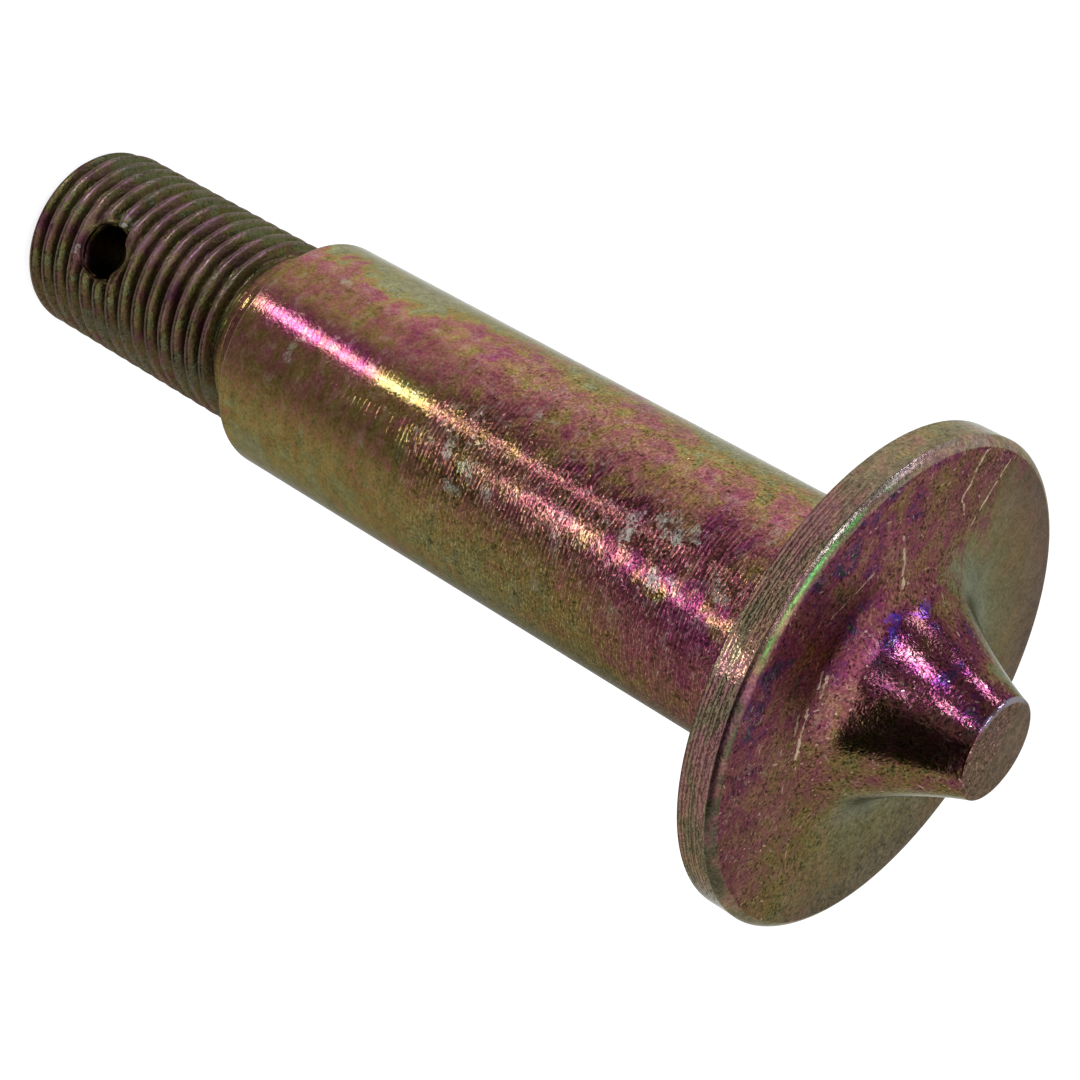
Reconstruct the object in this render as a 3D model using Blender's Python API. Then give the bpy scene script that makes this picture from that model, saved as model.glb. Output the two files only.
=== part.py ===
"""Sway bar link pin: one turned steel pin, standing on its threaded end, with the axis along +Z.

From the bottom up: chamfered thread with a cotter hole, relief neck, plain shank, thin disc head,
and a nub that flares down into the head. Lengths are in metres.
"""
import math

import bmesh
import bpy

for old in list(bpy.data.objects):
    bpy.data.objects.remove(old, do_unlink=True)

# Thread: M12 x 1.25, right-handed
THREAD_RADIUS = 0.00596
PITCH = 0.00125
THREAD_DEPTH = 0.61343 * PITCH      # depth of this thread form
CREST_FLAT = PITCH / 8
FLANK_SLOPE = math.tan(math.radians(30))
CREST_AT_ZERO = 0.00103             # height of a crest where the helix crosses the +X side
TIP_CHAMFER = 0.00085
LAST_GROOVE = 0.0181                # height at which the groove starts to climb out
RUN_OUT_TURN = 0.4                  # part of a turn the groove takes to climb out

# Neck between the thread and the shank
NECK_RADIUS = 0.00562
NECK_LENGTH = 0.0023
NECK_CORNER = 0.0003

# Cotter hole across the thread, along Y
HOLE_RADIUS = 0.0017
HOLE_HEIGHT = 0.00675
HOLE_BREAK = 0.0003                 # depth of the broken edge at each mouth
HOLE_SIDES = 28

# Shank
SHANK_RADIUS = 0.00725
SHANK_START = 0.0204
SHANK_LENGTH = 0.0416
SHANK_EDGE = 0.0001
HEAD_FILLET = 0.0004                # round between the shank and the head

# Head
HEAD_RADIUS = 0.01404
HEAD_THICKNESS = 0.00225
RIM_CHAMFER = 0.00048
RIM_EDGE = 0.0001

# Nub on the head
NUB_HEIGHT = 0.00657                # from the head's front face to the flat end
NUB_EDGE = 0.0002
FLARE_CENTRE_R = 0.0215            # centre of the arc that the flare follows, from the axis
FLARE_CENTRE_Z = 0.0132            # the same centre, above the head's front face
FLARE_RADIUS = 0.0198
FLARE_FOOT = 0.0014                  # round between the flare and the face

SIDES = 48                          # facets round the axis, the same for body and groove


def arc(centre_r, centre_z, radius, start, end, steps):
    """Points (r, z) along an arc, angles in degrees from +r towards +z."""
    found = []
    for i in range(steps + 1):
        angle = math.radians(start + (end - start) * i / steps)
        found.append((centre_r + radius * math.cos(angle), centre_z + radius * math.sin(angle)))
    return found


def flare_points(face_z):
    """The flare from its foot on the face up to the nub's end, as points (r, z)."""
    centre_r = FLARE_CENTRE_R
    centre_z = face_z + FLARE_CENTRE_Z
    # The foot is a smaller round inside the flare's circle, tangent to that circle and to the face.
    foot_z = face_z + FLARE_FOOT
    reach = FLARE_RADIUS - FLARE_FOOT
    rise = centre_z - foot_z
    foot_r = centre_r - math.sqrt(reach ** 2 - rise ** 2)
    meet = math.degrees(math.atan2(rise, centre_r - foot_r))
    foot = arc(foot_r, foot_z, FLARE_FOOT, 270, 180 + meet, 5)
    top_z = face_z + NUB_HEIGHT - NUB_EDGE
    top_angle = math.degrees(math.asin((centre_z - top_z) / FLARE_RADIUS))
    flare = arc(centre_r, centre_z, FLARE_RADIUS, 180 + meet, 180 + top_angle, 9)
    return foot + flare[1:]


def body_profile():
    """The whole outline without the thread's groove, from the bottom face's middle to the top's."""
    shank_end = SHANK_START + SHANK_LENGTH
    face_z = shank_end + HEAD_THICKNESS
    rim_z = face_z - RIM_CHAMFER
    top_z = face_z + NUB_HEIGHT
    neck_z = SHANK_START - NECK_LENGTH
    step = THREAD_RADIUS - NECK_RADIUS
    points = [(THREAD_RADIUS - TIP_CHAMFER, 0.0), (THREAD_RADIUS, TIP_CHAMFER)]
    points += [(THREAD_RADIUS, neck_z - step), (NECK_RADIUS, neck_z)]
    points += arc(NECK_RADIUS + NECK_CORNER, SHANK_START - NECK_CORNER, NECK_CORNER, 180, 90, 3)
    points += [(SHANK_RADIUS - SHANK_EDGE, SHANK_START), (SHANK_RADIUS, SHANK_START + SHANK_EDGE)]
    points += arc(SHANK_RADIUS + HEAD_FILLET, shank_end - HEAD_FILLET, HEAD_FILLET, 180, 90, 4)
    points += [(HEAD_RADIUS - RIM_EDGE, shank_end), (HEAD_RADIUS, shank_end + RIM_EDGE)]
    points += [(HEAD_RADIUS, rim_z), (HEAD_RADIUS - RIM_CHAMFER, face_z)]
    points += flare_points(face_z)
    end_r = points[-1][0]
    points += [(end_r - NUB_EDGE * 0.3, top_z - NUB_EDGE * 0.3), (end_r - NUB_EDGE, top_z)]
    return points


def new_object(name, vertices, faces):
    mesh = bpy.data.meshes.new(name)
    mesh.from_pydata(vertices, [], faces)
    mesh.validate()
    obj = bpy.data.objects.new(name, mesh)
    bpy.context.scene.collection.objects.link(obj)
    shape = bmesh.new()
    shape.from_mesh(mesh)
    bmesh.ops.recalc_face_normals(shape, faces=shape.faces[:])
    shape.to_mesh(mesh)
    shape.free()
    return obj


def turned(name, points, sides):
    """A solid of revolution: one ring of vertices for each point, and a flat cap at each end."""
    vertices = []
    for r, z in points:
        for j in range(sides):
            angle = 2 * math.pi * j / sides
            vertices.append((r * math.cos(angle), r * math.sin(angle), z))
    faces = []
    for i in range(len(points) - 1):
        for j in range(sides):
            k = (j + 1) % sides
            faces.append((i * sides + j, i * sides + k, (i + 1) * sides + k, (i + 1) * sides + j))
    last = (len(points) - 1) * sides
    faces.append(tuple(range(sides - 1, -1, -1)))
    faces.append(tuple(range(last, last + sides)))
    return new_object(name, vertices, faces)


def groove_cutter():
    """The space between the crests: a truncated V carried up the helix, lifted out at the top."""
    out = 0.00006                                  # how far the cutter stands outside the crests
    half_top = (PITCH - CREST_FLAT) / 2 + out * FLANK_SLOPE
    half_root = (PITCH - CREST_FLAT) / 2 - THREAD_DEPTH * FLANK_SLOPE
    first = CREST_AT_ZERO + PITCH / 2 - 2 * PITCH
    climb = THREAD_DEPTH + out
    turns = (LAST_GROOVE - first) / PITCH
    steps = round((turns + RUN_OUT_TURN) * SIDES)
    start_out = round(turns * SIDES)
    vertices = []
    for n in range(steps + 1):
        angle = 2 * math.pi * n / SIDES
        z = first + PITCH * n / SIDES
        part = max(0.0, (n - start_out) / (steps - start_out))
        lift = climb * part * part
        rows = ((THREAD_RADIUS + out + lift, -half_top), (THREAD_RADIUS - THREAD_DEPTH + lift, -half_root),
                (THREAD_RADIUS - THREAD_DEPTH + lift, half_root), (THREAD_RADIUS + out + lift, half_top))
        for r, dz in rows:
            vertices.append((r * math.cos(angle), r * math.sin(angle), z + dz))
    faces = []
    for n in range(steps):
        for i in range(4):
            k = (i + 1) % 4
            faces.append((4 * n + i, 4 * n + k, 4 * n + 4 + k, 4 * n + 4 + i))
    faces.append((0, 1, 2, 3))
    faces.append((4 * steps + 3, 4 * steps + 2, 4 * steps + 1, 4 * steps))
    return new_object("groove_cutter", vertices, faces)


def hole_cutter():
    """The cotter hole's cylinder along Y, widened at both mouths to break the edge."""
    mouth = THREAD_RADIUS - HOLE_BREAK
    far = THREAD_RADIUS + 0.001
    wide = HOLE_RADIUS + far - mouth
    cutter = turned("hole_cutter", [(wide, -far), (HOLE_RADIUS, -mouth), (HOLE_RADIUS, mouth), (wide, far)],
                    HOLE_SIDES)
    for vertex in cutter.data.vertices:
        x, y, z = vertex.co
        vertex.co = (x, -z, y + HOLE_HEIGHT)
    return cutter


def cut(target, cutter):
    cutter.hide_render = True
    cutter.display_type = "WIRE"
    modifier = target.modifiers.new(cutter.name, "BOOLEAN")
    modifier.operation = "DIFFERENCE"
    modifier.solver = "EXACT"
    modifier.object = cutter


def plating():
    """Yellow zinc on steel."""
    material = bpy.data.materials.new("yellow_zinc")
    material.use_nodes = True
    shader = material.node_tree.nodes["Principled BSDF"]
    shader.inputs["Base Color"].default_value = (0.30, 0.20, 0.13, 1.0)
    shader.inputs["Metallic"].default_value = 1.0
    shader.inputs["Roughness"].default_value = 0.34
    return material


pin = turned("link_pin", body_profile(), SIDES)
cut(pin, groove_cutter())
cut(pin, hole_cutter())
pin.data.materials.append(plating())
bpy.context.view_layer.objects.active = pin
pin.select_set(True)
bpy.ops.object.shade_smooth()
pin.data.set_sharp_from_angle(angle=math.radians(30))
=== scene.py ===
import math
import bpy
import numpy as np
from mathutils import Matrix, Vector


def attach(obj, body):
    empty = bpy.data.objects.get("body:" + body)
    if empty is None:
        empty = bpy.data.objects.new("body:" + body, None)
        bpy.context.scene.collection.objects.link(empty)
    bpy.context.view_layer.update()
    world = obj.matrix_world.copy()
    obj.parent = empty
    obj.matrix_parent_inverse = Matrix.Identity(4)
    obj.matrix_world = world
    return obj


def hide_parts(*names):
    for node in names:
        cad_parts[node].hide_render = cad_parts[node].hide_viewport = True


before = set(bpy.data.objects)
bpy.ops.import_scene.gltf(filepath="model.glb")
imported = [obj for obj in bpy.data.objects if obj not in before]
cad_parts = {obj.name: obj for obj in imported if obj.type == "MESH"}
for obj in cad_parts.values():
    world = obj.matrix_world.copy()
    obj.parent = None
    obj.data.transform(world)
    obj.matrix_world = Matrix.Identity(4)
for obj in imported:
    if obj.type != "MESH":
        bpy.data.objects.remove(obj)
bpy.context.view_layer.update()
print("frame loaded:", sorted(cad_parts))


# The pin's sizes, in metres, with heights from the threaded end
pin = {
    "columns": 240,                 # cells round the axis
    "rowStep": 0.00009,             # height of a cell in the threaded part
    "tipChamfer": 0.00085,
    "threadRadius": 0.00596,
    "pitch": 0.00125,
    "crestFlat": 0.00016,
    "crestAtZero": 0.00103,         # height of a crest on the +X side
    "threadDepth": 0.000767,
    "lastGroove": 0.0181,           # from here the groove climbs out
    "runOutTurn": 0.4,
    "neckStart": 0.0181,
    "neckRadius": 0.00562,
    "neckRings": (0.0186, 0.0192),  # fine turning ridges left in the neck
    "neckRingRise": 0.00004,
    "neckRingWidth": 0.00008,
    "gridTop": 0.0193,              # the thread's cells end here and the outline's rows begin
    "shoulder": 0.0204,
    "shankRadius": 0.00725,
    "headBack": 0.0620,
    "headRadius": 0.01404,
    "rimGrooves": (0.00026, 0.00047, 0.00074, 0.00090, 0.00121),    # heights above the head's back
    "rimGrooveDepth": 0.000006,
    "rimGrooveWidth": 0.00005,
    "rimChamfer": 0.00048,
    "chamferRound": 0.4,            # 0 for a straight chamfer, 1 for a quarter round
    "headFace": 0.06425,
    "flareCentre": (0.0215, 0.0132),    # from the axis, and above the face
    "flareRadius": 0.0198,
    "flareFoot": 0.0030,
    "nubHeight": 0.00657,
}

# The cotter hole runs along Y. Round each mouth the square cells are drawn into a circle.
hole = {
    "height": 0.00675,
    "radius": 0.0017,
    "mouth": 0.00178,               # radius of the broken edge
    "edgeDepth": 0.00008,
    "wornReach": 0.00235,           # crests are beaten down within this distance of the hole
    "wornRadius": 0.00566,
    "wornShare": 0.6,
    "cellsAcross": 11,              # half the block of cells that the mouth takes
    "cellsUp": 18,
    "reach": 1.8,                   # where the drawn cells are square again, in block widths
    "rounds": 6,                    # repeats that settle a point on the thread's uneven surface
    "wallInset": 0.0004,            # how far inside the thread's root the wall's inner rings end
}


def smoothStep(x):
    x = np.clip(x, 0.0, 1.0)
    return x * x * (3.0 - 2.0 * x)


# Bell curve: 1 at the middle, 1/e at the width from it
def bell(x, middle, width):
    return np.exp(-((x - middle) / width) ** 2)


# Outline of the threaded part without its groove: a 45 degree chamfer, the crests' cylinder,
# a 45 degree fall to the neck, and the neck with its two fine ridges.
def blankRadius(z):
    chamfer = pin["threadRadius"] - pin["tipChamfer"] + z
    fall = pin["neckRadius"] + np.maximum(pin["neckStart"] - z, 0.0)
    ridges = sum(bell(z, ring, pin["neckRingWidth"]) for ring in pin["neckRings"]) * pin["neckRingRise"]
    return np.minimum(np.minimum(chamfer, pin["threadRadius"]), fall + ridges)


# Radius of the thread at an angle and a height. The distance d from the nearest groove's middle
# gives a truncated V: depth = (half the groove's width - d) / tan 30, kept between 0 and the
# full depth and rounded at both ends. Near the top the groove climbs out with the square of
# the part of a turn that it has made.
def threadSurface(angle, z):
    turn = angle / (2.0 * math.pi)
    inTurns = (z - pin["crestAtZero"]) / pin["pitch"] - turn - 0.5
    groove = np.round(inTurns)
    d = np.abs(inTurns - groove) * pin["pitch"]
    middle = pin["crestAtZero"] + (groove + turn + 0.5) * pin["pitch"]
    climb = np.clip((middle - pin["lastGroove"]) / (pin["pitch"] * pin["runOutTurn"]), 0.0, 1.0) ** 2
    halfWidth = (pin["pitch"] - pin["crestFlat"]) / 2.0
    share = (halfWidth - d) / math.tan(math.radians(30.0)) / pin["threadDepth"]
    soft = 0.06
    fromBelow = 0.5 * (share + np.sqrt(share ** 2 + soft ** 2))
    fromAbove = 0.5 * ((1.0 - fromBelow) + np.sqrt((1.0 - fromBelow) ** 2 + soft ** 2))
    rounded = np.clip(1.0 - fromAbove + soft * 0.25, 0.0, 1.0)
    depth = pin["threadDepth"] * (rounded - climb * 1.1)
    return np.minimum(pin["threadRadius"] - np.maximum(depth, 0.0), blankRadius(z))


# The same with the crests and grooves partly levelled close to the hole's mouth, where the edge
# was broken. side is the distance from the hole's axis round the pin.
def wornThread(angle, z, side):
    radius = threadSurface(angle, z)
    away = np.sqrt(side ** 2 + (z - hole["height"]) ** 2)
    near = smoothStep((hole["wornReach"] - away) / (hole["wornReach"] - hole["mouth"]))
    worn = hole["wornShare"] * near
    return radius * (1.0 - worn) + hole["wornRadius"] * worn


# Points on a circle's arc: centre plus radius times cosine and sine of the angle.
def arc(centreR, centreZ, radius, start, end, steps):
    t = np.radians(np.linspace(start, end, steps + 1))
    return np.stack([centreR + radius * np.cos(t), centreZ + radius * np.sin(t)], 1)


def line(start, end, steps):
    return np.linspace(start, end, steps + 1)


# Outline above the thread, from the neck to the nub's end: straight runs joined by small rounds.
# Rows that lie close together beside each round keep the long faces' shading flat.
def upperOutline(fromZ):
    near = 0.00004
    shankR, headR = pin["shankRadius"], pin["headRadius"]
    shoulder, back, face = pin["shoulder"], pin["headBack"], pin["headFace"]
    neckCorner, shankEdge, fillet, rimEdge = 0.0003, 0.00008, 0.0004, 0.00008
    runs = [line((pin["neckRadius"], fromZ), (pin["neckRadius"], shoulder - neckCorner), 6)]
    runs.append(arc(pin["neckRadius"] + neckCorner, shoulder - neckCorner, neckCorner, 180, 90, 4))
    runs.append(line((shankR - shankEdge - 0.0006, shoulder), (shankR - shankEdge - near, shoulder), 1))
    runs.append(arc(shankR - shankEdge, shoulder + shankEdge, shankEdge, -90, 0, 4))
    runs.append(line((shankR, shoulder + shankEdge + near), (shankR, back - fillet - near), 24))
    runs.append(arc(shankR + fillet, back - fillet, fillet, 180, 90, 5))
    runs.append(line((shankR + fillet + near, back), (headR - rimEdge - near, back), 8))
    runs.append(arc(headR - rimEdge, back + rimEdge, rimEdge, -90, 0, 4))
    # Rim: fine turning grooves, each a bell curve cut into the cylinder
    z = np.linspace(back + rimEdge + near, face - pin["rimChamfer"] - near, 46)
    cut = sum(bell(z, back + up, pin["rimGrooveWidth"]) for up in pin["rimGrooves"])
    runs.append(np.stack([headR - cut * pin["rimGrooveDepth"], z], 1))
    # Chamfer: part way from a straight 45 degree cut to a quarter round
    chamferIn = headR - pin["rimChamfer"]
    straight = line((headR, face - pin["rimChamfer"]), (chamferIn, face), 10)
    quarter = arc(chamferIn, face - pin["rimChamfer"], pin["rimChamfer"], 0, 90, 10)
    runs.append((straight + (quarter - straight) * pin["chamferRound"])[:-1])
    # Face and flare
    centreR, centreZ = pin["flareCentre"][0], face + pin["flareCentre"][1]
    footZ = face + pin["flareFoot"]
    reach, rise = pin["flareRadius"] - pin["flareFoot"], centreZ - footZ
    footR = centreR - math.sqrt(reach ** 2 - rise ** 2)
    meet = math.degrees(math.atan2(rise, centreR - footR))
    end, endEdge = face + pin["nubHeight"], 0.00014
    runs.append(line((chamferIn - near, face), (footR + near, face), 14))
    runs.append(arc(footR, footZ, pin["flareFoot"], 270, 180 + meet, 8))
    topAngle = math.degrees(math.asin((centreZ - end + endEdge) / pin["flareRadius"]))
    runs.append(arc(centreR, centreZ, pin["flareRadius"], 180 + meet, 180 + topAngle, 30)[1:])
    lastR = runs[-1][-1, 0]
    runs.append(arc(lastR - endEdge, end - endEdge, endEdge, 30, 90, 3))
    runs.append(line((lastR - endEdge - near, end), (0.0002, end), 7))
    return np.vstack(runs)


# Steps along the four sides of the block of cells that a mouth takes
def blockEdge(across, up):
    a = np.arange(-across, across)
    b = np.arange(-up, up)
    columns = np.concatenate([a, np.full(b.shape, across), -a, np.full(b.shape, -across)])
    rows = np.concatenate([np.full(a.shape, -up), b, np.full(a.shape, up), -b])
    return columns, rows


# The wall of the cotter hole: rings of points (x, y, z) with x and z on a circle, from the front
# mouth (-Y) to the back one. The first and last follow the thread's surface a little inside it.
def holeWall(x, z):
    ends = []
    for middle, side in ((1.5 * math.pi, 1.0), (0.5 * math.pi, -1.0)):
        radius = pin["threadRadius"]
        for _ in range(hole["rounds"]):
            radius = wornThread(middle + side * np.arcsin(x / radius), z, x)
        ends.append(np.sqrt(radius ** 2 - x ** 2) - hole["edgeDepth"])
    root = np.sqrt((pin["threadRadius"] - pin["threadDepth"]) ** 2 - x ** 2) - hole["wallInset"]
    levels = [-ends[0]] + [root * share for share in (-1.0, -0.5, 0.0, 0.5, 1.0)] + [ends[1]]
    return np.stack([np.stack([x, y, z], -1) for y in levels])


# The whole pin as one grid closed round the axis: rows go from the middle of the threaded end,
# up the thread, and along the outline to the middle of the nub's end. Each point is
# (r cos angle, r sin angle, z). The two mouths are left out of the grid and joined by a tube.
def pinSurface():
    count = pin["columns"]
    step = 2.0 * math.pi / count
    columnAngle = step * np.arange(count)
    threadRows = round(pin["gridTop"] / pin["rowStep"])
    z = pin["rowStep"] * np.arange(threadRows)
    angle, height = np.meshgrid(columnAngle, z)
    side = np.full(angle.shape, 1.0)
    centreRow = round(hole["height"] / pin["rowStep"])
    across, up = hole["cellsAcross"], hole["cellsUp"]
    for centreColumn in (count // 4, 3 * count // 4):
        offset = np.arange(count) - centreColumn
        a, b = np.meshgrid(offset / across, (np.arange(threadRows) - centreRow) / up)
        share = np.maximum(np.abs(a), np.abs(b))
        weight = smoothStep((hole["reach"] - share) / (hole["reach"] - 1.0))
        turned = np.arctan2(b, a)
        toX = hole["mouth"] * share * np.cos(turned)
        toZ = hole["height"] + hole["mouth"] * share * np.sin(turned)
        lateral = offset * step + 0.0 * height
        drawnZ = height * (1.0 - weight) + toZ * weight
        drawn = lateral
        for _ in range(hole["rounds"]):
            radius = wornThread(columnAngle[centreColumn] + drawn, drawnZ, pin["threadRadius"] * drawn)
            drawn = np.where(weight > 0.0, np.arcsin(np.clip(toX / radius, -0.9, 0.9)), lateral)
            drawn = lateral * (1.0 - weight) + drawn * weight
        close = np.abs(offset) < count // 8
        side[:, close] = pin["threadRadius"] * np.sin(drawn[:, close])
        angle = np.where(weight > 0.0, columnAngle[centreColumn] + drawn, angle)
        height = np.where(weight > 0.0, drawnZ, height)
    radius = wornThread(angle, height, side)

    # End face below, outline above
    tip = pin["threadRadius"] - pin["tipChamfer"]
    endR = np.array([0.0002, 0.001, 0.002, 0.003, 0.004, tip - 0.0002, tip - 0.00003])
    upper = upperOutline(z[-1] + 0.0001)
    radius = np.vstack([endR[:, None] + 0.0 * columnAngle, radius, upper[:, :1] + 0.0 * columnAngle])
    height = np.vstack([np.zeros((len(endR), count)), height, upper[:, 1:] + 0.0 * columnAngle])
    angle = np.vstack([np.tile(columnAngle, (len(endR), 1)), angle, np.tile(columnAngle, (len(upper), 1))])
    centreRow += len(endR)
    rows = len(radius)
    points = np.stack([radius * np.cos(angle), radius * np.sin(angle), height], -1).reshape(-1, 3)

    i, j = np.meshgrid(np.arange(rows - 1), np.arange(count), indexing="ij")
    k = (j + 1) % count
    cells = np.stack([i * count + j, i * count + k, (i + 1) * count + k, (i + 1) * count + j], -1)
    keep = np.ones(i.shape, bool)
    for centreColumn in (count // 4, 3 * count // 4):
        keep[centreRow - up:centreRow + up, centreColumn - across:centreColumn + across] = False
    cells = cells[keep]

    columns, ringRows = blockEdge(across, up)
    front = (centreRow + ringRows) * count + 3 * count // 4 + columns
    back = (centreRow + ringRows) * count + count // 4 - columns
    turned = np.arctan2(ringRows / up, columns / across)
    wall = holeWall(hole["radius"] * np.cos(turned), hole["height"] + hole["radius"] * np.sin(turned))
    wallIndex = len(points) + np.arange(wall.shape[0] * wall.shape[1]).reshape(wall.shape[:2])
    rings = np.vstack([front, wallIndex, back])
    nextOne = np.roll(rings, -1, axis=1)
    tube = np.stack([rings[:-1], rings[1:], nextOne[1:], nextOne[:-1]], -1).reshape(-1, 4)

    points = np.vstack([points, wall.reshape(-1, 3), [[0.0, 0.0, 0.0], [0.0, 0.0, height[-1, 0]]]])
    low, high = len(points) - 2, len(points) - 1
    ring = np.arange(count)
    bottom = np.stack([np.full(count, low), np.roll(ring, -1), ring], 1)
    last = (rows - 1) * count
    top = np.stack([np.full(count, high), last + ring, last + np.roll(ring, -1)], 1)
    return points, np.vstack([cells, tube]), np.vstack([bottom, top])


def newObject(name, data):
    obj = bpy.data.objects.new(name, data)
    bpy.context.scene.collection.objects.link(obj)
    return obj


# Puts whole arrays of points, quads and triangles into one mesh, without the points not used.
def meshFrom(name, points, quads, triangles):
    used, corner = np.unique(np.concatenate([quads.ravel(), triangles.ravel()]), return_inverse=True)
    points = points[used]
    sizes = np.concatenate([np.full(len(quads), 4), np.full(len(triangles), 3)])
    starts = np.concatenate([[0], np.cumsum(sizes)[:-1]])
    mesh = bpy.data.meshes.new(name)
    mesh.vertices.add(len(points))
    mesh.vertices.foreach_set("co", points.astype(np.float32).ravel())
    mesh.loops.add(len(corner))
    mesh.loops.foreach_set("vertex_index", corner.astype(np.int32).ravel())
    mesh.polygons.add(len(sizes))
    mesh.polygons.foreach_set("loop_start", starts.astype(np.int32))
    mesh.polygons.foreach_set("use_smooth", np.ones(len(sizes), bool))
    mesh.update(calc_edges=True)
    mesh.validate()
    return newObject(name, mesh)


platedPin = meshFrom("plated_pin", *pinSurface())
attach(platedPin, "root")
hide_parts("link_pin")
print("pin surface:", len(platedPin.data.polygons), "faces")


def newNode(tree, kind, **settings):
    node = tree.nodes.new(kind)
    for key, value in settings.items():
        setattr(node, key, value)
    return node


def srgb(r, g, b):
    return tuple(c / 12.92 if c <= 0.04045 else ((c + 0.055) / 1.055) ** 2.4
                 for c in (r / 255.0, g / 255.0, b / 255.0)) + (1.0,)


def connect(tree, value, socket):
    if isinstance(value, bpy.types.NodeSocket):
        tree.links.new(value, socket)
    else:
        socket.default_value = value


def calc(tree, operation, a, b=0.0, c=0.0):
    node = newNode(tree, "ShaderNodeMath", operation=operation)
    for value, socket in zip((a, b, c), node.inputs):
        connect(tree, value, socket)
    return node.outputs[0]


def total(tree, *values):
    result = values[0]
    for value in values[1:]:
        result = calc(tree, "ADD", result, value)
    return result


def product(tree, *values):
    result = values[0]
    for value in values[1:]:
        result = calc(tree, "MULTIPLY", result, value)
    return result


# A value carried from one range to another, held at the ends
def spread(tree, value, low, high, toLow=0.0, toHigh=1.0, smooth=True):
    node = newNode(tree, "ShaderNodeMapRange", interpolation_type="SMOOTHSTEP" if smooth else "LINEAR")
    for part, socket in zip((value, low, high, toLow, toHigh), node.inputs):
        connect(tree, part, socket)
    return node.outputs[0]


# 1 between two values, with a soft step at each side
def band(tree, value, low, high, blend):
    rise = spread(tree, value, low - blend, low + blend)
    fall = spread(tree, value, high - blend, high + blend, 1.0, 0.0)
    return product(tree, rise, fall)


# 1 where a mask is 0, another value where it is 1
def fade(tree, mask, value):
    return spread(tree, mask, 0.0, 1.0, 1.0, value)


def stretched(tree, vector, scale):
    node = newNode(tree, "ShaderNodeMapping", vector_type="POINT")
    tree.links.new(vector, node.inputs["Vector"])
    node.inputs["Scale"].default_value = scale
    return node.outputs[0]


def noise(tree, vector, scale, detail=2.0, roughness=0.5, distortion=0.0):
    node = newNode(tree, "ShaderNodeTexNoise")
    for label, value in (("Vector", vector), ("Scale", scale), ("Detail", detail),
                         ("Roughness", roughness), ("Distortion", distortion)):
        connect(tree, value, node.inputs[label])
    return node.outputs["Fac"]


# Noise brought to between -amount and amount
def swing(tree, value, amount):
    return spread(tree, value, 0.3, 0.7, -amount, amount, False)


def mixColour(tree, factor, a, b, blend="MIX"):
    node = newNode(tree, "ShaderNodeMix", data_type="RGBA", blend_type=blend)
    for value, socket in zip((factor, a, b), (node.inputs[0], node.inputs[6], node.inputs[7])):
        connect(tree, value, socket)
    return node.outputs[2]


def mixValue(tree, factor, a, b):
    node = newNode(tree, "ShaderNodeMix", data_type="FLOAT")
    for value, socket in zip((factor, a, b), (node.inputs[0], node.inputs[2], node.inputs[3])):
        connect(tree, value, socket)
    return node.outputs[0]


# A colour made darker or lighter by a factor
def shaded(tree, colour, factor):
    grey = newNode(tree, "ShaderNodeCombineColor")
    for socket in grey.inputs:
        tree.links.new(factor, socket)
    return mixColour(tree, 1.0, colour, grey.outputs[0], "MULTIPLY")


def ramp(tree, value, stops):
    node = newNode(tree, "ShaderNodeValToRGB")
    for _ in range(len(stops) - 2):
        node.color_ramp.elements.new(0.5)
    for element, (position, colour) in zip(node.color_ramp.elements, stops):
        element.position = position
        element.color = colour if isinstance(colour, tuple) else (colour, colour, colour, 1.0)
    tree.links.new(value, node.inputs[0])
    return node.outputs[0]


# A value that depends on the angle round the pin, given as (degrees, value)
def roundPin(tree, degrees, stops):
    share = spread(tree, degrees, -180.0, 180.0, 0.0, 1.0, False)
    return ramp(tree, share, [((angle + 180.0) / 360.0, value) for angle, value in stops])


# A node group with vector and number inputs whose one output is a mask
def maskGroup(name, vectors, numbers):
    tree = bpy.data.node_groups.new(name, "ShaderNodeTree")
    for labels, kind in ((vectors, "NodeSocketVector"), (numbers, "NodeSocketFloat")):
        for label in labels:
            tree.interface.new_socket(name=label, in_out="INPUT", socket_type=kind)
    tree.interface.new_socket(name="Mask", in_out="OUTPUT", socket_type="NodeSocketFloat")
    return tree, tree.nodes.new("NodeGroupInput").outputs, tree.nodes.new("NodeGroupOutput").inputs["Mask"]


def placeGroup(tree, group, **values):
    node = tree.nodes.new("ShaderNodeGroup")
    node.node_tree = group
    for label, value in values.items():
        connect(tree, value, node.inputs[label])
    return node.outputs[0]


def vectorStep(tree, operation, *values):
    node = newNode(tree, "ShaderNodeVectorMath", operation=operation)
    sockets = (node.inputs[0], node.inputs["Scale"]) if operation == "SCALE" else node.inputs
    for value, socket in zip(values, sockets):
        connect(tree, value, socket)
    return node.outputs["Value" if operation in ("DOT_PRODUCT", "LENGTH", "DISTANCE") else "Vector"]


# One straight scratch: 1 within the width of the line from Start to End, ragged with noise. The
# nearest point on the line is Start + along * share, share = dot(P - Start, along) / dot(along, along).
def scratchGroup():
    tree, given, out = maskGroup("straightScratch", ("Vector", "Start", "End"), ("Width", "Ragged"))
    fromStart = vectorStep(tree, "SUBTRACT", given["Vector"], given["Start"])
    along = vectorStep(tree, "SUBTRACT", given["End"], given["Start"])
    share = calc(tree, "DIVIDE", vectorStep(tree, "DOT_PRODUCT", fromStart, along),
                 vectorStep(tree, "DOT_PRODUCT", along, along))
    share = spread(tree, share, 0.0, 1.0, 0.0, 1.0, False)
    nearest = vectorStep(tree, "SCALE", along, share)
    away = vectorStep(tree, "LENGTH", vectorStep(tree, "SUBTRACT", fromStart, nearest))
    width = product(tree, spread(tree, given["Ragged"], 0.35, 0.65, 0.15, 1.5, False), given["Width"])
    tree.links.new(spread(tree, calc(tree, "DIVIDE", away, width), 0.5, 1.0, 1.0, 0.0), out)
    return tree


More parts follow.
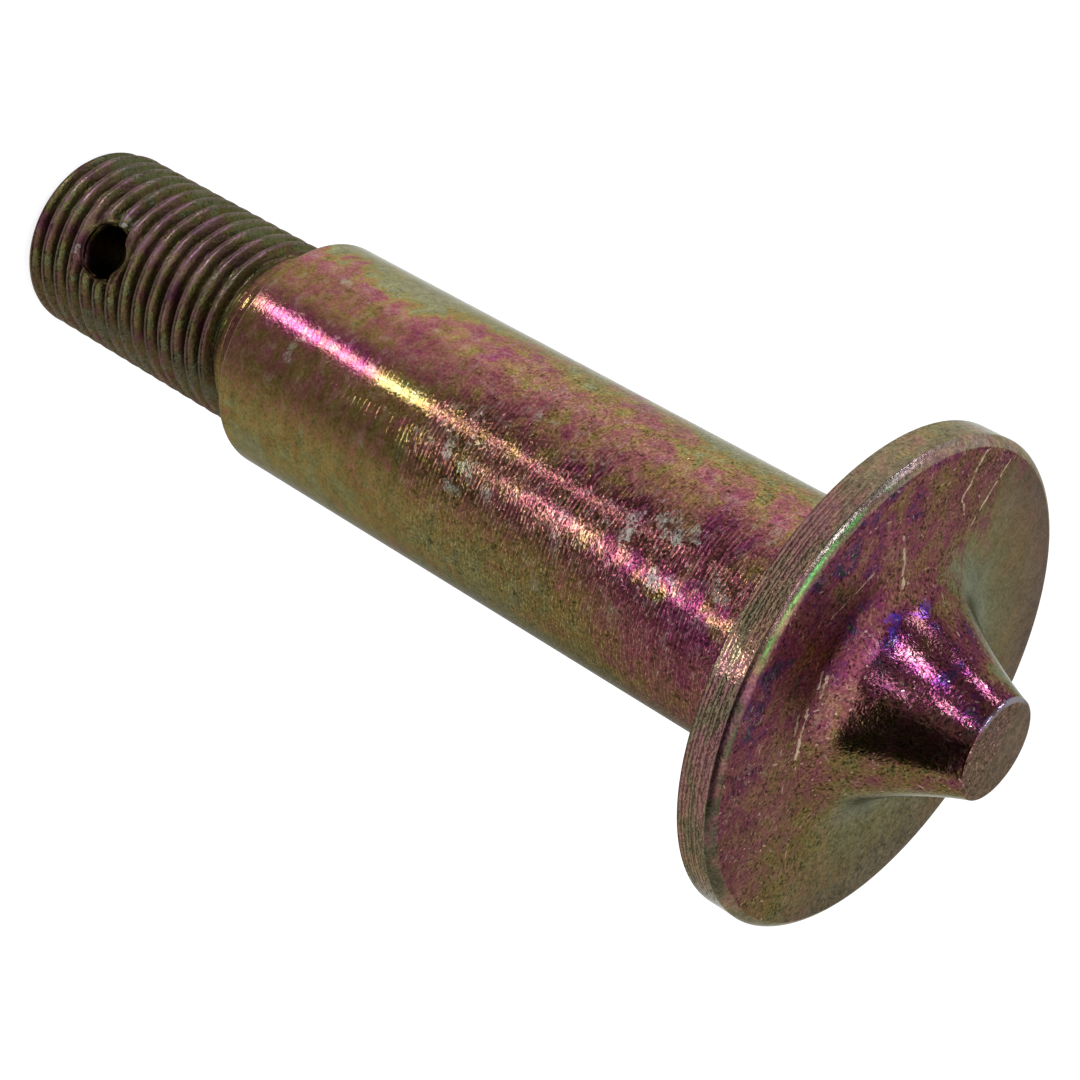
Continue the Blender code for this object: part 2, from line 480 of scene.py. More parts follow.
# One scuffed patch: 1 near Centre, with an edge that the Ragged noise moves in and out
def scuffGroup():
    tree, given, out = maskGroup("scuffedPatch", ("Vector", "Centre"), ("Size", "Ragged"))
    away = vectorStep(tree, "DISTANCE", given["Vector"], given["Centre"])
    inSizes = calc(tree, "DIVIDE", away, given["Size"])
    edge = calc(tree, "SUBTRACT", swing(tree, given["Ragged"], 1.3), inSizes)
    tree.links.new(spread(tree, edge, -0.80, -0.15), out)
    return tree


# Thin curly hairlines: where a warped noise passes its middle value, in part of the places
def hairlineGroup():
    tree, given, out = maskGroup("hairlines", ("Vector",), ("Scale", "Width"))
    lines = noise(tree, given["Vector"], given["Scale"], 2.0, 0.6, 1.6)
    offMiddle = calc(tree, "ABSOLUTE", calc(tree, "SUBTRACT", lines, 0.5))
    inWidths = calc(tree, "DIVIDE", offMiddle, given["Width"])
    part = noise(tree, given["Vector"], calc(tree, "MULTIPLY", given["Scale"], 0.7))
    mask = product(tree, spread(tree, inWidths, 0.3, 1.0, 1.0, 0.0), spread(tree, part, 0.50, 0.56))
    tree.links.new(mask, out)
    return tree


# Short strokes strewn at random, one to a cell. In a cell the stroke runs through the feature point
# in a random direction d: aside = length((P - point) x d), along = dot(P - point, d).
def fleckGroup():
    tree, given, out = maskGroup("flecks", ("Vector",), ("Scale", "Length", "Width", "Ragged"))
    cells = newNode(tree, "ShaderNodeTexVoronoi")
    tree.links.new(given["Vector"], cells.inputs["Vector"])
    tree.links.new(given["Scale"], cells.inputs["Scale"])
    local = vectorStep(tree, "SUBTRACT", given["Vector"], cells.outputs["Position"])
    centred = vectorStep(tree, "SUBTRACT", cells.outputs["Color"], (0.5, 0.5, 0.5))
    direction = vectorStep(tree, "NORMALIZE", centred)
    aside = vectorStep(tree, "LENGTH", vectorStep(tree, "CROSS_PRODUCT", local, direction))
    along = calc(tree, "ABSOLUTE", vectorStep(tree, "DOT_PRODUCT", local, direction))
    width = product(tree, spread(tree, given["Ragged"], 0.35, 0.65, 0.3, 1.6, False), given["Width"])
    mask = product(tree, spread(tree, calc(tree, "DIVIDE", aside, width), 0.5, 1.0, 1.0, 0.0),
                   spread(tree, calc(tree, "DIVIDE", along, given["Length"]), 0.6, 1.0, 1.0, 0.0),
                   spread(tree, vectorStep(tree, "LENGTH", centred), 0.35, 0.55))
    tree.links.new(mask, out)
    return tree


# Turning marks: narrow rings at each Spacing along the axis, wavering and broken by two noises
def turningGroup():
    tree, given, out = maskGroup("turningMarks", (), ("Height", "Spacing", "Waver", "Broken"))
    turns = total(tree, calc(tree, "DIVIDE", given["Height"], given["Spacing"]), given["Waver"])
    wave = calc(tree, "SINE", product(tree, turns, 2.0 * math.pi))
    mask = product(tree, spread(tree, wave, 0.35, 0.9), spread(tree, given["Broken"], 0.42, 0.56))
    tree.links.new(mask, out)
    return tree


plating = {
    "frontAzimuth": -96.68,         # the side from which the angles below are counted
    "film": (                       # colours of the passivated film, thin to thick
        (0.00, srgb(142, 140, 108)),
        (0.16, srgb(138, 132, 86)),
        (0.32, srgb(146, 124, 72)),
        (0.45, srgb(152, 112, 84)),
        (0.57, srgb(152, 98, 92)),
        (0.70, srgb(146, 80, 92)),
        (0.83, srgb(136, 62, 98)),
        (0.93, srgb(100, 58, 110)),
        (1.00, srgb(60, 68, 66)),
    ),
    # Film thickness as (degrees round the pin, share): on the shank, the head's face and the nub
    "shankFilm": ((-180, 0.40), (-150, 0.58), (-118, 0.36), (-88, 0.10), (-66, 0.24), (-50, 0.46),
                  (-36, 0.52), (-24, 0.54), (-10, 0.54), (0, 0.44), (14, 0.48), (26, 0.38), (42, 0.24),
                  (70, 0.16), (96, 0.22), (120, 0.50), (148, 0.60), (180, 0.40)),
    "faceFilm": ((-180, 0.08), (-120, 0.10), (-100, 0.30), (-84, 0.56), (-60, 0.62), (-40, 0.64),
                 (-8, 0.70), (22, 0.66), (48, 0.58), (72, 0.46), (100, 0.26), (130, 0.10), (180, 0.08)),
    "nubFilm": ((-180, 0.20), (-110, 0.22), (-84, 0.30), (-62, 0.68), (-20, 0.78), (12, 0.58), (44, 0.40),
                (66, 0.50), (84, 0.30), (180, 0.20)),
    # Calm colours on the far side of the head's face, from the flare's foot to the rim, in metres; the light
    # grey-green by the flare's foot is a painted reflection
    "calmFace": ((0.0070, srgb(110, 118, 102)), (0.0088, srgb(104, 98, 74)), (0.0110, srgb(102, 84, 66)),
                 (0.0134, srgb(90, 66, 72))),
    # Chamfer colours round the pin: lighter and pinkish near -60 degrees as a painted highlight, near-black
    # from about 10 to 60 degrees as painted shade
    "chamfer": ((-180, srgb(134, 124, 100)), (-60, srgb(150, 132, 122)), (-34, srgb(124, 122, 98)),
                (-4, srgb(112, 108, 80)), (14, srgb(72, 74, 54)), (60, srgb(78, 76, 60)),
                (100, srgb(134, 124, 100)), (180, srgb(134, 124, 100))),
    "paintedChamferGlint": srgb(92, 168, 84),
    # Thread roots: painted shade in the grooves, and darker, browner painted shade on the low side
    "threadRootShade": srgb(56, 62, 28),
    "threadLowSideShade": srgb(42, 36, 26),
    "threadCrest": srgb(100, 86, 84),
    "rim": srgb(128, 118, 92),
    # Painted shade on the rim: darker from the front towards the low side
    "rimShade": ((-180, 1.0), (-70, 1.0), (-30, 0.92), (0, 0.84), (60, 0.74), (110, 0.95), (180, 1.0)),
    "darkSpeck": srgb(50, 34, 32),
    "scuff": srgb(162, 168, 156),
    "scratch": srgb(196, 176, 148),
    # Light flecks, partly painted glints
    "fleckAndGlint": srgb(198, 164, 150),
    "paintedBlueHighlight": srgb(96, 62, 180),
    "greenSpot": srgb(30, 60, 42),
    # Pale edge colour: partly worn film, partly painted edge highlight
    "wornEdgeAndGlint": srgb(140, 134, 142),
    "nubEnd": srgb(98, 75, 68),
    # Painted shade: the whole head's colour darkened
    "headShade": 0.58,
    # Shading of the face round the pin, 0 for 0.7 of the colour and 1 for 1.2 of it
    "faceShade": ((-180, 0.6), (-100, 0.6), (-76, 0.30), (-54, 0.62), (-24, 0.90), (8, 0.52), (45, 0.40),
                  (80, 0.30), (110, 0.50), (180, 0.6)),
    "ringSpacing": 0.00038,         # turning marks on the ground part of the shank
    "roughRingSpacing": 0.00027,    # and on the rest of it
    "groundEnd": 0.0345,
    "edgeTint": srgb(204, 204, 194),
    "dust": 0.42,                   # how much the strewn scuffs along the front show
    "bend": 0.0005,                 # how far scratches and flecks may be bent, in metres
    "roughness": {"ground": 0.15, "rough": 0.14, "head": 0.32, "nub": 0.17},
    "duller": {"scuff": 0.25, "thread": 0.14, "chamfer": 0.14},     # added to the roughness
    # Depths in hundredths of a millimetre
    "relief": {"groundRings": -0.35, "roughRings": -1.0, "dimples": -1.2, "rim": 0.25},
}

# Scuffed patches on the shank and beside the cotter hole: middle, size in mm and how much shows
scuffs = (
    ((-1.3, -7.1, 50.3), 1.0, 0.9), ((-2.8, -6.7, 51.3), 0.9, 0.9), ((-2.3, -6.9, 52.7), 0.9, 0.9),
    ((-2.7, -6.7, 53.6), 0.7, 0.9), ((0.5, -7.2, 53.0), 0.7, 0.8), ((1.6, -7.1, 38.9), 0.8, 0.9),
    ((-0.6, -7.2, 37.9), 0.9, 0.7), ((0.3, -7.2, 39.6), 0.8, 0.6), ((-2.8, -6.7, 38.6), 0.8, 0.5),
    ((0.9, -7.2, 41.3), 0.6, 0.7), ((-3.9, -6.1, 41.5), 0.6, 0.6), ((1.5, -7.1, 46.6), 0.7, 0.5),
    ((-0.9, -7.2, 56.6), 0.8, 0.5), ((-5.3, -4.9, 24.4), 0.7, 0.5), ((-0.6, -7.2, 24.9), 0.9, 0.5),
    ((3.7, -6.2, 46.0), 0.8, 0.4), ((-5.0, -5.3, 53.8), 0.7, 0.4), ((4.9, 5.4, 33.0), 0.9, 0.6),
    ((-6.3, 3.6, 47.0), 1.0, 0.7), ((2.0, 7.0, 54.0), 0.8, 0.7), ((-2.4, -5.4, 7.4), 0.8, 0.5),
    ((0.8, -5.8, 4.6), 0.6, 0.5),
)

# Scratches on the head's face: both ends and the width, in mm
scratches = (
    ((-13.0, -2.8, 64.25), (-10.4, -2.8, 64.25), 0.13), ((-13.1, 0.1, 64.25), (-9.4, -0.6, 64.25), 0.11),
    ((-10.4, -2.8, 64.25), (-9.6, -1.6, 64.25), 0.10), ((-7.6, -6.7, 64.25), (-6.3, -5.2, 64.3), 0.15),
    ((-6.3, -5.2, 64.3), (-4.9, -4.5, 64.5), 0.15), ((-5.4, -7.8, 64.25), (-2.7, -9.6, 64.25), 0.09),
    ((0.2, -7.4, 64.27), (1.2, -7.1, 64.27), 0.16), ((0.0, -7.9, 64.25), (0.8, -7.7, 64.25), 0.12),
    ((2.0, -7.5, 64.25), (4.6, -6.3, 64.25), 0.17), ((2.5, -8.1, 64.25), (3.7, -7.4, 64.25), 0.12),
    ((5.1, 8.4, 64.25), (3.6, 9.9, 64.25), 0.13),
)

# Spots of thick film on the flare, blue and green: middle and size in mm. The bright blue ones are also
# painted bluish highlights
blueHighlightSpots = (((-3.7, -4.8, 65.0), 0.55), ((-4.6, -3.4, 65.5), 0.45), ((-3.1, -5.0, 65.3), 0.3))
greenSpots = (((-1.4, -5.3, 65.8), 0.5), ((-0.4, -3.0, 70.3), 0.45), ((-4.0, -9.4, 64.25), 0.8),
              ((1.2, -9.6, 64.25), 0.7))


def zincMaterial():
    material = bpy.data.materials.new("yellowZinc")
    material.use_nodes = True
    tree = material.node_tree
    shader = tree.nodes["Principled BSDF"]
    place = newNode(tree, "ShaderNodeTexCoord").outputs["Object"]
    split = newNode(tree, "ShaderNodeSeparateXYZ")
    tree.links.new(place, split.inputs[0])
    x, y, z = split.outputs
    radius = calc(tree, "SQRT", total(tree, product(tree, x, x), product(tree, y, y)))
    front = math.radians(plating["frontAzimuth"])
    ahead = total(tree, product(tree, x, math.cos(front)), product(tree, y, math.sin(front)))
    aside = total(tree, product(tree, x, -math.sin(front)), product(tree, y, math.cos(front)))
    degrees = product(tree, calc(tree, "ARCTAN2", aside, ahead), 180.0 / math.pi)

    # Noise of several sizes, two of them drawn out round the pin as the tool ran
    broad = noise(tree, place, 170.0)
    middle = noise(tree, place, 620.0, 3.0, 0.6, 0.5)
    ragged = noise(tree, place, 1300.0, 3.0, 0.7, 0.3)
    fine = noise(tree, place, 2700.0, 2.0, 0.7)
    grain = noise(tree, place, 6200.0, 1.0, 0.6)
    aroundFine = noise(tree, stretched(tree, place, (0.4, 0.4, 1.0)), 5000.0, 1.0, 0.6)
    aroundMiddle = noise(tree, stretched(tree, place, (0.3, 0.3, 1.0)), 1500.0, 2.0, 0.6)
    bending = newNode(tree, "ShaderNodeTexNoise")
    bending.inputs["Scale"].default_value = 900.0
    tree.links.new(place, bending.inputs["Vector"])
    bent = vectorStep(tree, "MULTIPLY_ADD", bending.outputs["Color"], (plating["bend"],) * 3, place)

    # Zones of the pin
    neckStart, shoulder, back, face = pin["neckStart"], pin["shoulder"], pin["headBack"], pin["headFace"]
    headR, nubTop = pin["headRadius"], face + pin["nubHeight"]
    rimEnd, faceR = face - pin["rimChamfer"], headR - pin["rimChamfer"]
    thread = spread(tree, z, neckStart - 0.0001, neckStart + 0.0002, 1.0, 0.0)
    neck = band(tree, z, neckStart, shoulder, 0.0001)
    shank = band(tree, z, shoulder, back, 0.00002)
    rim = product(tree, band(tree, z, back, rimEnd, 0.00005),
                  spread(tree, radius, headR - 0.00024, headR - 0.00009))
    chamfer = product(tree, spread(tree, z, rimEnd - 0.00003, rimEnd + 0.00002),
                      spread(tree, radius, faceR - 0.00006, faceR + 0.00002))
    top = product(tree, spread(tree, z, face - 0.00025, face - 0.00003),
                  spread(tree, radius, faceR - 0.00006, faceR + 0.00002, 1.0, 0.0))
    nub = product(tree, top, spread(tree, z, face + 0.00025, face + 0.00125))
    nubEnd = spread(tree, z, nubTop - 0.00005, nubTop - 0.00001)
    rough = spread(tree, z, plating["groundEnd"] - 0.002, plating["groundEnd"] + 0.004)
    wander = total(tree, degrees, swing(tree, broad, 14.0), swing(tree, middle, 12.0))
    calm = product(tree, top, spread(tree, calc(tree, "ABSOLUTE", total(tree, wander, -6.0)), 74.0, 112.0))
    outward = total(tree, radius, swing(tree, middle, 0.0012))
    faceEdge = product(tree, top, spread(tree, outward, 0.0106, 0.0125),
                       band(tree, wander, -45.0, 75.0, 15.0))
    lowSide = product(tree, shank, band(tree, wander, 22.0, 100.0, 12.0))

    # Film thickness: thicker towards the head, with a magenta and then a golden stretch in front
    magenta = product(tree, band(tree, degrees, -16.0, -3.0, 4.0), band(tree, z, 0.0216, 0.0305, 0.001))
    golden = product(tree, band(tree, degrees, -14.0, -4.0, 3.0), band(tree, z, 0.0315, 0.0350, 0.001))
    highStart = product(tree, band(tree, wander, -80.0, -50.0, 8.0), spread(tree, z, 0.026, 0.034, 1.0, 0.0))
    frontEnd = product(tree, band(tree, wander, -14.0, 20.0, 5.0), spread(tree, z, 0.038, 0.046))
    lowEnd = product(tree, band(tree, wander, 14.0, 80.0, 8.0), spread(tree, z, 0.046, 0.056))
    film = total(tree, roundPin(tree, wander, plating["shankFilm"]),
                 spread(tree, z, 0.034, 0.058, 0.0, 0.03), product(tree, magenta, 0.28),
                 product(tree, golden, -0.26), product(tree, highStart, -0.30),
                 product(tree, frontEnd, 0.11), product(tree, lowEnd, 0.36))
    film = mixValue(tree, top, film, roundPin(tree, wander, plating["faceFilm"]))
    film = total(tree, film, product(tree, faceEdge, 0.12))
    film = mixValue(tree, nub, film, roundPin(tree, wander, plating["nubFilm"]))
    film = total(tree, film, swing(tree, broad, 0.12), swing(tree, middle, 0.20), swing(tree, fine, 0.08),
                 swing(tree, aroundMiddle, 0.06), product(tree, top, swing(tree, ragged, 0.10)),
                 product(tree, thread, swing(tree, middle, 0.25)))
    film = calc(tree, "MINIMUM", film, mixValue(tree, top, 0.82, 1.0))
    colour = ramp(tree, film, plating["film"])

    # Thread: pale worn crests over dark roots; the dark roots are painted shade in the grooves, darker and
    # browner on the low side as painted shade
    rootShare = spread(tree, total(tree, degrees, swing(tree, middle, 30.0)), -20.0, 40.0)
    rootShadeColour = mixColour(tree, rootShare, plating["threadRootShade"], plating["threadLowSideShade"])
    crestEdge = total(tree, radius, swing(tree, fine, 0.00006))
    crestR = pin["threadRadius"]
    crest = product(tree, spread(tree, crestEdge, crestR - 0.00022, crestR - 0.00005),
                    spread(tree, middle, 0.35, 0.60, 0.6, 1.0), fade(tree, rootShare, 0.72))
    threadColour = mixColour(tree, crest, rootShadeColour, plating["threadCrest"])
    threadColour = mixColour(tree, 0.20, threadColour, colour)
    colour = mixColour(tree, total(tree, thread, product(tree, neck, 0.45)), colour, threadColour)

    # Rim and chamfer: a thin, pale film, drawn out in dashes, with a painted green highlight line in the
    # chamfer
    # Painted highlight: a bright green line along the middle of the chamfer, from -24 to 0 degrees
    paintedGlint = product(tree, chamfer, band(tree, radius, headR - 0.00030, headR - 0.00016, 0.00004),
                    band(tree, wander, -24.0, 0.0, 6.0))
    # The chamfer's colours carry a painted highlight near the top and painted shade lower down
    rimColour = mixColour(tree, chamfer, plating["rim"], roundPin(tree, wander, plating["chamfer"]))
    rimColour = mixColour(tree, product(tree, paintedGlint, 0.85), rimColour, plating["paintedChamferGlint"])
    dashes = total(tree, spread(tree, aroundFine, 0.35, 0.65, 0.80, 1.14, False), swing(tree, middle, 0.14))
    # Painted shade: the rim's colour darkened round the pin, most on the low side
    rimShade = mixValue(tree, rim, 1.0, roundPin(tree, wander, plating["rimShade"]))
    rimColour = shaded(tree, rimColour, product(tree, dashes, rimShade))
    rimShare = product(tree, total(tree, rim, chamfer), spread(tree, aroundMiddle, 0.40, 0.60, 0.95, 0.55))
    colour = mixColour(tree, rimShare, colour, rimColour)

    # Turning marks: shallow rings on the ground part, and closer, broken ones on the rest. In front the
    # colour is painted lighter on the ticks and darker between them, as painted highlight and painted shade
    turning = turningGroup()
    groundRings = placeGroup(tree, turning, Height=z, Spacing=plating["ringSpacing"],
                             Waver=swing(tree, broad, 0.5), Broken=aroundFine)
    roughRings = placeGroup(tree, turning, Height=z, Spacing=plating["roughRingSpacing"],
                            Waver=swing(tree, broad, 0.6), Broken=mixValue(tree, 0.5, aroundFine, fine))
    # Painted highlight on the ticks and painted shade between them, in front of the rough part only
    ticks = product(tree, shank, rough, band(tree, wander, -18.0, 20.0, 6.0))
    paintedTickLight = mixValue(tree, ticks, 1.0, spread(tree, roughRings, 0.0, 1.0, 0.66, 1.30))

    # Grain and small dark specks, painted shade that darkens the head and varies round its face, and calm
    # colours on its far side
    contrast = mixValue(tree, shank, mixValue(tree, top, 0.40, 0.72), mixValue(tree, rough, 0.26, 0.52))
    calmLow = product(tree, calm, spread(tree, wander, 40.0, 80.0))
    mottle = total(tree, swing(tree, grain, 0.9), swing(tree, fine, 0.7))
    mottle = product(tree, mottle, contrast, fade(tree, calm, 0.35), fade(tree, calmLow, 1.8))
    shade = total(tree, 1.0, mottle, swing(tree, aroundMiddle, 0.14),
                  product(tree, shank, swing(tree, ragged, 0.20)))
    faceShade = spread(tree, roundPin(tree, wander, plating["faceShade"]), 0.0, 1.0, 0.7, 1.2, False)
    # Painted shade: the head darker than the shank, a little darker near the face's edge in front, and
    # lighter or darker round the face
    headShade = product(tree, plating["headShade"], fade(tree, faceEdge, 0.88),
                        mixValue(tree, nub, faceShade, 0.82))
    # Painted shade: the shank's low side is made darker towards the head
    shading = product(tree, mixValue(tree, top, 1.0, headShade), paintedTickLight,
                      mixValue(tree, lowSide, 1.0, spread(tree, z, 0.034, 0.058, 1.0, 0.80)))
    colour = shaded(tree, colour, shading)
    rampScale = 60.0
    calmStops = [(away * rampScale, tint) for away, tint in plating["calmFace"]]
    calmColour = ramp(tree, product(tree, radius, rampScale), calmStops)
    calmColour = shaded(tree, calmColour, fade(tree, calmLow, 0.78))
    colour = mixColour(tree, product(tree, calm, mixValue(tree, calmLow, 0.76, 0.58)), colour, calmColour)
    nubEndGrain = total(tree, aroundFine, swing(tree, middle, 0.10))
    nubEndColour = shaded(tree, plating["nubEnd"], spread(tree, nubEndGrain, 0.35, 0.65, 0.72, 1.18, False))
    colour = mixColour(tree, product(tree, nubEnd, 0.85), colour, nubEndColour)
    colour = shaded(tree, colour, calc(tree, "MAXIMUM", shade, 0.15))
    specks = spread(tree, total(tree, fine, swing(tree, grain, 0.08)), 0.55, 0.62)
    specks = product(tree, specks, mixValue(tree, shank, 0.50, mixValue(tree, rough, 0.12, 0.50)),
                     fade(tree, calm, 0.0), calc(tree, "SUBTRACT", 1.0, nubEnd))
    colour = mixColour(tree, specks, colour, plating["darkSpeck"])

    # Hairlines, light flecks that are partly painted glints, scratches, scuffs and spots, the bright blue
    # spots partly painted highlights
    hairs = placeGroup(tree, hairlineGroup(), Vector=place, Scale=900.0, Width=0.022)
    strewn = placeGroup(tree, fleckGroup(), Vector=bent, Scale=2100.0, Length=0.00027, Width=0.00005,
                        Ragged=fine)
    scratch, patch = scratchGroup(), scuffGroup()
    crumbs = total(tree, ragged, swing(tree, fine, 0.12), swing(tree, grain, 0.06))

    # Patches given in mm, each broken up by the finer noise
    def patches(places):
        found = 0.0
        for centre, size, *shows in places:
            mark = placeGroup(tree, patch, Vector=place, Centre=tuple(c / 1000.0 for c in centre),
                              Size=size / 1000.0, Ragged=crumbs)
            found = calc(tree, "MAXIMUM", found, product(tree, mark, *shows))
        return found

    marks = 0.0
    for *ends, width in scratches:
        start, end = (tuple(c / 1000.0 + plating["bend"] / 2.0 for c in point) for point in ends)
        mark = placeGroup(tree, scratch, Vector=bent, Start=start, End=end, Width=width / 1000.0,
                          Ragged=fine)
        marks = calc(tree, "MAXIMUM", marks, mark)
    # Faint scuffs are strewn along the front of the shank
    dusty = product(tree, spread(tree, crumbs, 0.53, 0.66), shank, band(tree, wander, -50.0, 34.0, 12.0),
                    plating["dust"])
    grainy = spread(tree, total(tree, fine, swing(tree, grain, 0.12)), 0.38, 0.62, 1.0, 0.30)
    worn = product(tree, calc(tree, "MAXIMUM", patches(scuffs), dusty), grainy)
    lively = fade(tree, calm, 0.12)
    hairShare = product(tree, hairs, lively, total(tree, top, shank), 0.20)
    colour = mixColour(tree, hairShare, colour, plating["scratch"])
    # Light flecks on the head and the shank, partly painted glints
    fleckAndGlintShare = total(tree, product(tree, top, 0.68), product(tree, shank, 0.20),
                    product(tree, shank, rough, 0.26))
    colour = mixColour(tree, product(tree, strewn, lively, fleckAndGlintShare), colour, plating["fleckAndGlint"])
    marks = product(tree, marks, spread(tree, grain, 0.4, 0.6, 0.90, 0.50))
    colour = mixColour(tree, marks, colour, plating["scratch"])
    scuffGrain = total(tree, fine, swing(tree, grain, 0.1))
    scuffColour = shaded(tree, plating["scuff"], spread(tree, scuffGrain, 0.35, 0.65, 1.25, 0.65, False))
    colour = mixColour(tree, worn, colour, scuffColour)
    spotted = spread(tree, grain, 0.35, 0.6, 0.75, 0.25)
    # The blue spots are partly painted highlights, the green ones thick film
    for places, tint in ((blueHighlightSpots, plating["paintedBlueHighlight"]), (greenSpots, plating["greenSpot"])):
        colour = mixColour(tree, product(tree, patches(places), spotted), colour, tint)

    # Pale edges, painted partly as film worn through and partly as an edge highlight: the nub's end, in
    # front, and the shoulder
    endEdge = product(tree, band(tree, radius, 0.00268, 0.0030, 0.00005),
                      spread(tree, z, nubTop - 0.00022, nubTop - 0.00014),
                      band(tree, wander, -120.0, -5.0, 15.0), spread(tree, middle, 0.4, 0.6, 0.4, 0.9))
    shoulderEdge = product(tree, band(tree, z, shoulder - 0.00004, shoulder + 0.00012, 0.00004),
                           spread(tree, middle, 0.4, 0.6, 0.05, 0.55))
    colour = mixColour(tree, calc(tree, "MAXIMUM", endEdge, shoulderEdge), colour, plating["wornEdgeAndGlint"])
    tree.links.new(colour, shader.inputs["Base Color"])

    # Gloss: bright on the shank and the nub, duller on the head's face and where the pin is worn
    roughness, duller = plating["roughness"], plating["duller"]
    gloss = mixValue(tree, rough, roughness["ground"], roughness["rough"])
    gloss = mixValue(tree, top, gloss, roughness["head"])
    gloss = mixValue(tree, nub, gloss, roughness["nub"])
    gloss = total(tree, gloss, swing(tree, middle, 0.04), product(tree, worn, duller["scuff"]),
                  product(tree, thread, duller["thread"]), product(tree, chamfer, duller["chamfer"]))
    tree.links.new(gloss, shader.inputs["Roughness"])
    shader.inputs["Metallic"].default_value = 1.0
    shader.inputs["Specular Tint"].default_value = plating["edgeTint"]

    # Relief, in hundredths of a millimetre
    depth = plating["relief"]
    rings = mixValue(tree, rough, product(tree, groundRings, depth["groundRings"]),
                     product(tree, roughRings, depth["roughRings"]))
    pitShare = mixValue(tree, shank, 0.8, mixValue(tree, rough, 0.35, 0.45))
    dimples = product(tree, shank, rough, spread(tree, aroundFine, 0.50, 0.68), depth["dimples"])
    pits = product(tree, total(tree, swing(tree, fine, 0.5), swing(tree, grain, 0.25)), pitShare)
    relief = total(tree, pits, product(tree, shank, rings), dimples,
                   product(tree, rim, swing(tree, aroundFine, depth["rim"])))
    bump = newNode(tree, "ShaderNodeBump")
    bump.inputs["Strength"].default_value = 1.0
    bump.inputs["Distance"].default_value = 0.00001
    tree.links.new(relief, bump.inputs["Height"])
    tree.links.new(bump.outputs[0], shader.inputs["Normal"])
    return material


platedPin.data.materials.append(zincMaterial())
print("plating ready")


# Floor, cards and lamps. The levels are shares of white as the metal reflects them.
studio = {
    "floorSize": 6.0,
    "floorGlow": 0.82,
    "floorPaint": 0.30,
    "worldLight": 0.75,
    # Grey card on the floor round the pin, as (azimuth in degrees, level)
    "floorCard": ((-168, 0.82), (-157, 0.80), (-148, 0.74), (-139, 0.55), (-128, 0.34), (-112, 0.26),
                  (-64, 0.24), (-50, 0.36), (-34, 0.48), (20, 0.55), (50, 0.42), (95, 0.46)),
    # How bright the card is near the pin and further off, as (distance in metres, share of the level)
    "cardRows": ((0.016, 1.35), (0.040, 1.20), (0.085, 0.95), (0.130, 0.92)),
    # Upright cards, the room in front of the head and its dark corner that the nub's flank faces:
    # name, azimuths as (first, end, step), distance, heights and level
    "cards": (
        ("room_card", (-200, -70, 6), 0.43, (0.03, 0.4, 0.8), 0.34),
        ("nub_card", (-79, -2, 6), 0.42, (0.12, 0.3, 0.5), 0.03),
    ),
    "cardColour": (1.0, 0.97, 0.92, 1.0),
    # Lamps on the floor: name, both ends and width in mm, radiance
    "strips": (
        ("streak", (-12.5, -25.0), (-16.5, -51.0), 4.0, 10.0),
        ("streak_end", (-22.0, -52.0), (-27.0, -80.0), 3.0, 9.0),
        ("sparkle", (2.0, -69.0), (36.0, -111.0), 8.0, 14.0),
    ),
    # Windows of the room: name, azimuth, elevation and width in degrees, radiance
    "windows": (
        ("window_high", -143.0, 36.0, 9.0, 26.0),
        ("window_side", -99.0, 43.0, 5.0, 14.0),
        ("window_low", 178.0, 12.0, 6.0, 24.0),
        ("window_near", -116.0, 26.0, 6.0, 20.0),
        ("window_blue", 176.0, 34.0, 9.0, 9.0),
        ("window_top", -130.0, 59.0, 8.0, 5.0),
    ),
    "windowDistance": 0.3,
    "windowColour": (1.0, 0.95, 1.5),
    "white": (1.0, 1.0, 1.0),
}


def onCircle(azimuth, radius, height):
    t = math.radians(azimuth)
    return Vector((radius * math.cos(t), radius * math.sin(t), height))


def rayShare(tree):
    seen = newNode(tree, "ShaderNodeLightPath").outputs
    share = calc(tree, "MAXIMUM", seen["Is Camera Ray"], seen["Is Glossy Ray"])
    return calc(tree, "MAXIMUM", share, seen["Is Transmission Ray"])


def makeFloor():
    half = studio["floorSize"] / 2.0
    mesh = bpy.data.meshes.new("floor")
    corners = [(-half, -half, 0), (half, -half, 0), (half, half, 0), (-half, half, 0)]
    mesh.from_pydata(corners, [], [(0, 1, 2, 3)])
    floor = newObject("floor", mesh)
    material = bpy.data.materials.new("paleFloor")
    material.use_nodes = True
    tree = material.node_tree
    tree.nodes.remove(tree.nodes["Principled BSDF"])
    paint = newNode(tree, "ShaderNodeBsdfDiffuse")
    paint.inputs["Color"].default_value = (studio["floorPaint"],) * 3 + (1.0,)
    glow = newNode(tree, "ShaderNodeEmission")
    tree.links.new(calc(tree, "MULTIPLY", rayShare(tree), studio["floorGlow"]), glow.inputs["Strength"])
    both = newNode(tree, "ShaderNodeAddShader")
    tree.links.new(paint.outputs[0], both.inputs[0])
    tree.links.new(glow.outputs[0], both.inputs[1])
    tree.links.new(both.outputs[0], tree.nodes["Material Output"].inputs["Surface"])
    mesh.materials.append(material)


def makeWorld():
    world = bpy.data.worlds.new("paleRoom")
    bpy.context.scene.world = world
    world.use_nodes = True
    tree = world.node_tree
    background = tree.nodes["Background"]
    background.inputs["Color"].default_value = (1.0, 1.0, 1.0, 1.0)
    strength = spread(tree, rayShare(tree), 0.0, 1.0, studio["worldLight"], 1.0, False)
    tree.links.new(strength, background.inputs["Strength"])


